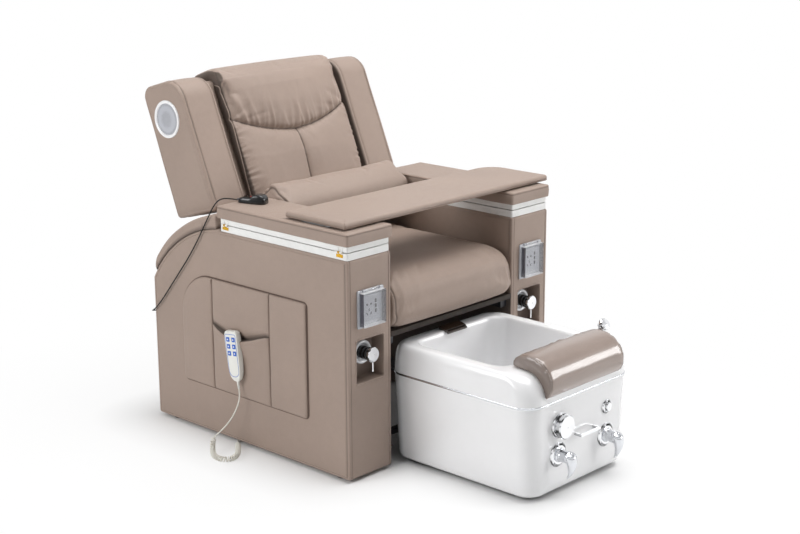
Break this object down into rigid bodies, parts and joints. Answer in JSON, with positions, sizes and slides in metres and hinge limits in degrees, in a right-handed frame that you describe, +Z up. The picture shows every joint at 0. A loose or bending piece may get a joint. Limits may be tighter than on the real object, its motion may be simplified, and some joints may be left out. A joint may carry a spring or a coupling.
{
  "type": "pedicure spa chair",
  "caption": "Upholstered pedicure chair with storage arms, a reclining back, a swivelling work board and a foot basin that slides out on castors.",
  "frame": {"origin": "on the floor, midway between the arms, at the plane of the arms' front faces", "axes": "+Z up, -Y towards the basin in front of the chair, +X to the sitter's left"},
  "size_m": [1.103, 1.5201, 1.1358],
  "materials": {
    "leather": "taupe grained leather",
    "leather_dark": "glossy brown leather",
    "white_plastic": "white gloss moulding",
    "chrome": "polished chrome",
    "brass": "polished brass",
    "steel": "black painted steel",
    "rod_steel": "bright steel",
    "board": "plywood",
    "foot_rubber": "black rubber",
    "socket_grey": "silver grey plastic",
    "cover_clear": "clear plastic",
    "black_plastic": "black plastic",
    "black_gloss": "black gloss plastic",
    "speaker_white": "white ring with a grey metal grille",
    "wheel_rubber": "grey castor tread",
    "handset_white": "white plastic",
    "key_blue": "blue rubber key",
    "key_red": "red rubber key",
    "cord_white": "white flexible cord",
    "cord_black": "black flexible cord"
  },
  "bodies": {
    "base": {"arm_body_left": "leather", "arm_body_right": "leather", "side_pads": "leather", "arm_caps": "leather", "storage_boxes": "white_plastic", "box_hinges": "brass", "base_frame": "steel", "feet": "foot_rubber", "seat_board": "board", "seat_cushion": "leather", "sockets": "socket_grey", "mixer_bodies": "black_gloss", "control_box": "black_plastic", "actuator_body": "steel", "handset_white": "handset_white", "cord_straight": "cord_white", "cord_curly": "cord_white", "cord_glands": "black_plastic", "cord_black": "cord_black"},
    "actuator_rod": {"actuator_rod": "rod_steel"},
    "backrest": {"back_shell": "leather", "back_wings": "leather", "back_cushion": "leather", "lumbar_pillow": "leather", "back_frame": "steel", "speakers": "speaker_white"},
    "lid_left": {"lid_frame_left": "white_plastic", "lid_pad_left": "leather", "handset_black": "black_plastic"},
    "lid_right": {"lid_frame_right": "white_plastic", "lid_pad_right": "leather"},
    "board_bracket": {"board_bracket": "steel"},
    "work_board": {"work_board": "leather"},
    "splash_cover_left": {"splash_cover_left": "cover_clear"},
    "splash_cover_right": {"splash_cover_right": "cover_clear"},
    "mixer_handle_left": {"mixer_handle_left": "chrome"},
    "mixer_handle_right": {"mixer_handle_right": "chrome"},
    "basin": {"basin": "white_plastic", "basin_skirt": "white_plastic", "basin_trim": "chrome", "basin_chassis": "steel", "calf_pad": "leather_dark", "spout": "chrome", "drain": "chrome", "front_fittings": "chrome", "shower_holder": "chrome"},
    "front_wheels": {"front_wheels": "wheel_rubber"},
    "rear_wheels": {"rear_wheels": "wheel_rubber"},
    "air_knob": {"air_knob": "chrome"},
    "tap_lever_left": {"tap_lever_left": "chrome"},
    "tap_lever_right": {"tap_lever_right": "chrome"},
    "push_button": {"push_button": "chrome"},
    "hand_shower": {"hand_shower": "chrome"},
    "key_red": {"key_red": "key_red"},
    "key_1": {"key_1": "key_blue"},
    "key_2": {"key_2": "key_blue"},
    "key_3": {"key_3": "key_blue"},
    "key_4": {"key_4": "key_blue"},
    "key_5": {"key_5": "key_blue"},
    "key_6": {"key_6": "key_blue"}
  },
  "joints": [
    {"name": "backrest_recline", "type": "hinge", "parent": "base", "child": "backrest", "pos_m": [0, 0.508, 0.262], "axis": [-1, 0, 0], "range_deg": [0, 30]},
    {"name": "actuator_stroke", "type": "slide", "parent": "base", "child": "actuator_rod", "axis": [0, -1, 0], "range_m": [0, 0.0622]},
    {"name": "lid_left_hinge", "type": "hinge", "parent": "base", "child": "lid_left", "pos_m": [-0.4604, 0, 0.7015], "axis": [0, -1, 0], "range_deg": [0, 95], "deforming": ["cord_black"]},
    {"name": "lid_right_hinge", "type": "hinge", "parent": "base", "child": "lid_right", "pos_m": [0.4604, 0, 0.7015], "axis": [0, 1, 0], "range_deg": [0, 95]},
    {"name": "board_swivel", "type": "hinge", "parent": "lid_left", "child": "board_bracket", "pos_m": [-0.4, 0.1495, 0.761], "axis": [0, 0, 1], "range_deg": [-90, 0]},
    {"name": "board_flip", "type": "hinge", "parent": "board_bracket", "child": "work_board", "pos_m": [-0.436, 0.1495, 0.7615], "axis": [0, -1, 0], "range_deg": [0, 24]},
    {"name": "splash_cover_left_hinge", "type": "hinge", "parent": "base", "child": "splash_cover_left", "pos_m": [-0.37, -0.0083, 0.583], "axis": [-1, 0, 0], "range_deg": [0, 100]},
    {"name": "splash_cover_right_hinge", "type": "hinge", "parent": "base", "child": "splash_cover_right", "pos_m": [0.37, -0.0083, 0.583], "axis": [-1, 0, 0], "range_deg": [0, 100]},
    {"name": "mixer_left_turn", "type": "hinge", "parent": "base", "child": "mixer_handle_left", "pos_m": [-0.37, -0.008, 0.383], "axis": [0, 1, 0], "range_deg": [-45, 45]},
    {"name": "mixer_right_turn", "type": "hinge", "parent": "base", "child": "mixer_handle_right", "pos_m": [0.37, -0.008, 0.383], "axis": [0, 1, 0], "range_deg": [-45, 45]},
    {"name": "basin_slide", "type": "slide", "parent": "base", "child": "basin", "axis": [0, 1, 0], "range_m": [0, 0.25]},
    {"name": "front_wheels_roll", "type": "hinge", "parent": "basin", "child": "front_wheels", "pos_m": [0, -0.425, 0.02], "axis": [-1, 0, 0], "range_deg": [0, 717]},
    {"name": "rear_wheels_roll", "type": "hinge", "parent": "basin", "child": "rear_wheels", "pos_m": [0, -0.01, 0.02], "axis": [-1, 0, 0], "range_deg": [0, 717]},
    {"name": "air_knob_turn", "type": "hinge", "parent": "basin", "child": "air_knob", "pos_m": [-0.1035, -0.515, 0.214], "axis": [0, 1, 0], "range_deg": [-90, 90]},
    {"name": "tap_left_turn", "type": "hinge", "parent": "basin", "child": "tap_lever_left", "pos_m": [-0.111, -0.53, 0.127], "axis": [0, 1, 0], "range_deg": [-60, 60]},
    {"name": "tap_right_turn", "type": "hinge", "parent": "basin", "child": "tap_lever_right", "pos_m": [0.118, -0.53, 0.124], "axis": [0, 1, 0], "range_deg": [-60, 60]},
    {"name": "push_button_press", "type": "slide", "parent": "basin", "child": "push_button", "axis": [0, 1, 0], "range_m": [0, 0.003], "stiffness_N_per_m": 400},
    {"name": "hand_shower_lift", "type": "slide", "parent": "basin", "child": "hand_shower", "axis": [0, 0, 1], "range_m": [0, 0.12]},
    {"name": "key_1_press", "type": "slide", "parent": "base", "child": "key_1", "axis": [1, 0, 0], "range_m": [0, 0.0008], "stiffness_N_per_m": 400},
    {"name": "key_2_press", "type": "slide", "parent": "base", "child": "key_2", "axis": [1, 0, 0], "range_m": [0, 0.0008], "stiffness_N_per_m": 400},
    {"name": "key_3_press", "type": "slide", "parent": "base", "child": "key_3", "axis": [1, 0, 0], "range_m": [0, 0.0008], "stiffness_N_per_m": 400},
    {"name": "key_4_press", "type": "slide", "parent": "base", "child": "key_4", "axis": [1, 0, 0], "range_m": [0, 0.0008], "stiffness_N_per_m": 400},
    {"name": "key_5_press", "type": "slide", "parent": "base", "child": "key_5", "axis": [1, 0, 0], "range_m": [0, 0.0008], "stiffness_N_per_m": 400},
    {"name": "key_6_press", "type": "slide", "parent": "base", "child": "key_6", "axis": [1, 0, 0], "range_m": [0, 0.0008], "stiffness_N_per_m": 400},
    {"name": "key_red_press", "type": "slide", "parent": "lid_left", "child": "key_red", "axis": [0, 0, -1], "range_m": [0, 0.0008], "stiffness_N_per_m": 400}
  ],
  "couplings": [
    {"joint": "actuator_stroke", "follows": "backrest_recline", "m_per_rad": 0.1186},
    {"joint": "board_flip", "follows": "lid_right_hinge", "ratio": 0.25},
    {"joint": "front_wheels_roll", "follows": "basin_slide", "rad_per_m": 50},
    {"joint": "rear_wheels_roll", "follows": "basin_slide", "rad_per_m": 50}
  ]
}
